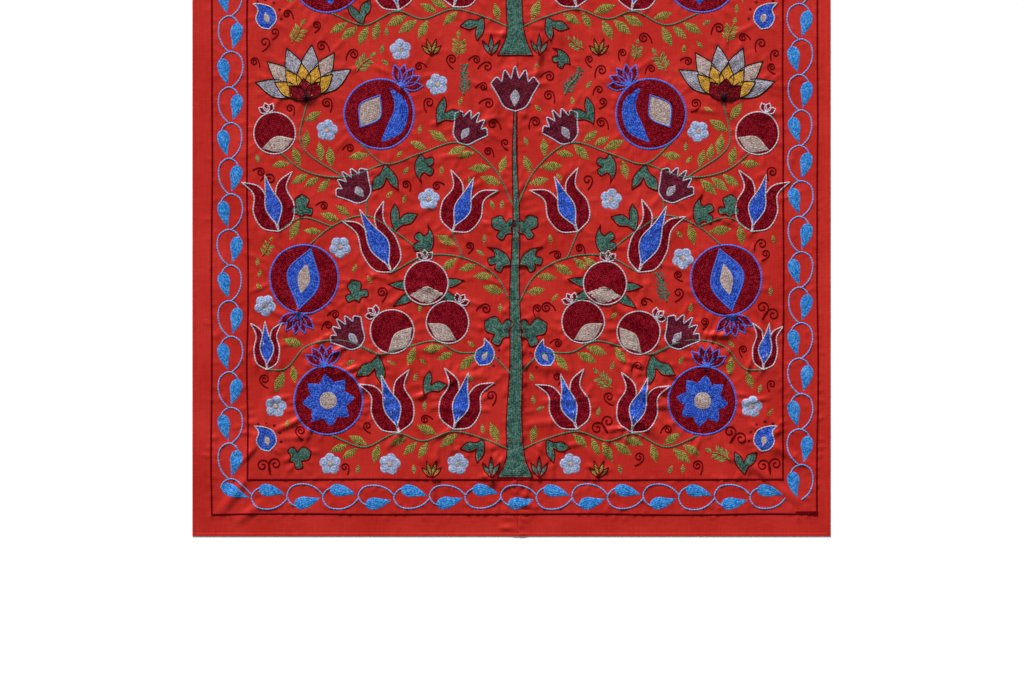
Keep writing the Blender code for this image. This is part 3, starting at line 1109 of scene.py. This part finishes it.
def couched_silk(name, dark, middle, light):
    """Floss silk couched down row by row inside the outline: grainy, each stitch a shade of its own, with
    painted shade in the hollows between the rows.
    """
    material, tree = new_material(name)
    place = add(tree, "ShaderNodeTexCoord").outputs["Object"]
    spot, (_, _, depth) = stitch_place(tree)
    scaled = add(tree, "ShaderNodeMapping", {"Vector": spot, "Scale": (1 / FLECK, 1 / FLECK, 1 / ROW)})
    grain = add(tree, "ShaderNodeTexVoronoi", {"Vector": scaled, "Scale": 1.0, "Randomness": 0.8})
    fleck = add(tree, "ShaderNodeSeparateColor", {"Color": grain.outputs["Color"]})
    specks = add(tree, "ShaderNodeTexVoronoi", {"Vector": place, "Scale": 1.0 / SPECK})
    speck = add(tree, "ShaderNodeSeparateColor", {"Color": specks.outputs["Color"]})
    rows = add(tree, MATHS, {0: depth, 1: 2 * math.pi / ROW}, operation="MULTIPLY")
    wave = add(tree, MATHS, {0: rows}, operation="COSINE")
    groove = add(tree, MATHS, {0: wave, 1: -0.5, 2: 0.5}, operation="MULTIPLY_ADD")
    cloud = add(tree, "ShaderNodeTexNoise", {"Vector": place, "Scale": 45.0, "Detail": 3.0})
    # The row wave darkens the hollows between the rows and lightens their crowns: painted shade.
    tone = add(tree, MATHS, {0: groove, 1: 0.18}, operation="MULTIPLY")
    for part, share in ((fleck, 0.34), (speck, 0.34), (cloud, 0.28)):
        tone = add(tree, MATHS, {0: part, 1: share, 2: tone}, operation="MULTIPLY_ADD")
    base = add(tree, "ShaderNodeValToRGB", {"Fac": tone}, [(0.28, dark), (0.57, middle), (0.86, light)])
    height = add(tree, MATHS, {0: grain.outputs["Distance"], 1: -0.5, 2: groove}, operation="MULTIPLY_ADD")
    bump = add(tree, "ShaderNodeBump", {"Height": height, "Strength": 0.45, "Distance": 0.0006})
    cloth_shader(tree, base, 0.6, bump, light)
    return material


def feathered_silk(name, dark, middle, light):
    """Twisted silk laid slantwise from a leaf's rib to its edge, dark ground showing between the stitches."""
    material, tree = new_material(name)
    place = add(tree, "ShaderNodeTexCoord").outputs["Object"]
    across, along, _ = stitch_place(tree)[1]
    aside = add(tree, MATHS, {0: across}, operation="ABSOLUTE")
    run = add(tree, MATHS, {0: aside, 1: -0.8, 2: along}, operation="MULTIPLY_ADD")
    waver = add(tree, "ShaderNodeTexNoise", {"Vector": place, "Scale": 260.0, "Detail": 1.0})
    shift = add(tree, MATHS, {0: waver, 1: 4.0}, operation="MULTIPLY")
    phase = add(tree, MATHS, {0: run, 1: 2 * math.pi / SLANT, 2: shift}, operation="MULTIPLY_ADD")
    wave = add(tree, MATHS, {0: phase}, operation="SINE")
    stitch = add(tree, MATHS, {0: wave, 1: 0.5, 2: 0.5}, operation="MULTIPLY_ADD")
    grain = add(tree, "ShaderNodeTexVoronoi", {"Vector": place, "Scale": 1.0 / FLECK})
    fleck = add(tree, "ShaderNodeSeparateColor", {"Color": grain.outputs["Color"]})
    shade = add(tree, MATHS, {0: fleck, 1: 0.45}, operation="MULTIPLY")
    tone = add(tree, MATHS, {0: stitch, 1: 0.55, 2: shade}, operation="MULTIPLY_ADD")
    base = add(tree, "ShaderNodeValToRGB", {"Fac": tone}, [(0.12, dark), (0.5, middle), (0.9, light)])
    bump = add(tree, "ShaderNodeBump", {"Height": stitch, "Strength": 0.5, "Distance": 0.0006})
    cloth_shader(tree, base, 0.6, bump, light)
    return material


def chain_silk(name, dark, light):
    """Chain stitch in twisted silk: a row of small links, light on their backs and dark where they meet."""
    material, tree = new_material(name)
    place = add(tree, "ShaderNodeTexCoord").outputs["Object"]
    across, along, _ = stitch_place(tree)[1]
    aside = add(tree, MATHS, {0: across}, operation="ABSOLUTE")
    run = add(tree, MATHS, {0: aside, 1: 1.0, 2: along}, operation="MULTIPLY_ADD")
    uneven = add(tree, "ShaderNodeTexNoise", {"Vector": place, "Scale": 120.0, "Detail": 1.0})
    shift = add(tree, MATHS, {0: uneven, 1: 6.0}, operation="MULTIPLY")
    phase = add(tree, MATHS, {0: run, 1: 2 * math.pi / LINK, 2: shift}, operation="MULTIPLY_ADD")
    wave = add(tree, MATHS, {0: phase}, operation="SINE")
    link = add(tree, MATHS, {0: wave, 1: 0.5, 2: 0.5}, operation="MULTIPLY_ADD")
    grain = add(tree, "ShaderNodeTexNoise", {"Vector": place, "Scale": 420.0, "Detail": 1.0})
    shade = add(tree, MATHS, {0: grain, 1: 0.5}, operation="MULTIPLY")
    tone = add(tree, MATHS, {0: link, 1: 0.5, 2: shade}, operation="MULTIPLY_ADD")
    base = add(tree, "ShaderNodeValToRGB", {"Fac": tone}, [(0.1, dark), (0.9, light)])
    bump = add(tree, "ShaderNodeBump", {"Height": link, "Strength": 0.4, "Distance": 0.0005})
    cloth_shader(tree, base, 0.6, bump, light)
    return material


FILL_COLOURS = {
    "crimson": ("#38000A", "#62060E", "#861A2A"),
    "cobalt": ("#0A2078", "#24429A", "#4E70CC"),
    "border_blue": ("#064C94", "#2A6EAE", "#5696D4"),
    "cream": ("#6A5650", "#92807C", "#B8A69E"),
    "green": ("#143026", "#33514A", "#54786A"),
    "plum": ("#320610", "#4C1422", "#6A2436"),
    "grey": ("#565260", "#7C7882", "#A8A4AE"),
    "ochre": ("#74500E", "#A6782A", "#C89A48"),
    "sky": ("#5E6A8C", "#808CAA", "#AAB6D4"),
}
LEAF_COLOURS = {
    "olive": ("#3A3208", "#6E6630", "#9C9050"),
    "sage": ("#34361A", "#66683A", "#8E905A"),
}
LINE_COLOURS = {
    "cobalt_line": ("#1A3590", "#5272D0"),
    "sky_line": ("#2260A4", "#6CA4DC"),
    "pale_line": ("#7E6E78", "#C2BCC6"),
    "frost_line": ("#6E7488", "#B0B8C8"),
    "maroon_line": ("#3C0006", "#6E0A12"),
    "green_line": ("#1E4234", "#50765E"),
    "olive_line": ("#4A4010", "#8C8040"),
    "black_line": ("#0A0506", "#2A1A1C"),
}


def threads():
    """All the silks by name."""
    made = {name: couched_silk("couched_silk_" + name, *codes) for name, codes in FILL_COLOURS.items()}
    made |= {name: feathered_silk("feathered_silk_" + name, *codes) for name, codes in LEAF_COLOURS.items()}
    made |= {name: chain_silk("chain_stitched_silk_" + name, *codes) for name, codes in LINE_COLOURS.items()}
    return made


# ---------------------------------------------------------------- light, floor and camera


def stage():
    """Pale floor, soft light from the cloth's top end, and a camera straight above."""
    scene = bpy.context.scene
    scene.view_settings.view_transform = "Standard"
    bm = bmesh.new()
    bmesh.ops.create_grid(bm, x_segments=1, y_segments=1, size=6.0)
    bmesh.ops.translate(bm, verts=bm.verts, vec=(0.0, 0.0, -0.0002))
    floor = make_object("floor", bm, [matt_paint()])

    world = bpy.data.worlds.new("studio")
    scene.world = world
    world.use_nodes = True
    world.node_tree.nodes["Background"].inputs[0].default_value = colour("#FFFFFF")
    world.node_tree.nodes["Background"].inputs[1].default_value = 0.20

    sun = bpy.data.lights.new("window", "SUN")
    sun.angle = math.radians(14.0)
    sun.energy = 5.9
    lamp = bpy.data.lights.new("lamp", "AREA")
    lamp.size = 1.6
    lamp.energy = 24.0
    for source, place, aim in (
        (sun, (-1.1, 3.2, 1.72), (0.0, 0.0, 0.0)),
        (lamp, (0.1, 1.9, 2.2), (0.0, 0.3, 0.0)),
    ):
        light = bpy.data.objects.new(source.name, source)
        light.location = place
        light.rotation_euler = (Vector(aim) - Vector(place)).to_track_quat("-Z", "Y").to_euler()
        scene.collection.objects.link(light)

    view_width = 1.958
    camera = bpy.data.cameras.new("camera")
    camera.lens, camera.sensor_width = 100.0, 36.0
    camera.clip_end = 50.0
    seen = bpy.data.objects.new("camera", camera)
    seen.location = (0.001, EDGE_BOTTOM + 0.372, view_width * camera.lens / camera.sensor_width)
    scene.collection.objects.link(seen)
    scene.camera = seen


# ---------------------------------------------------------------- making

field()
border()
draw_in(3)
crumple()
silks = threads()
satin = hand_woven_satin()
ground_panel("woven_ground_left", EDGE_LEFT, SEAM_LEFT, "ground_left", satin)
ground_panel("woven_ground_right", SEAM_RIGHT, EDGE_RIGHT, "ground_right", satin)
for piece_name in sorted(set(fills) | set(lines)):
    needlework(piece_name, silks)
stage()
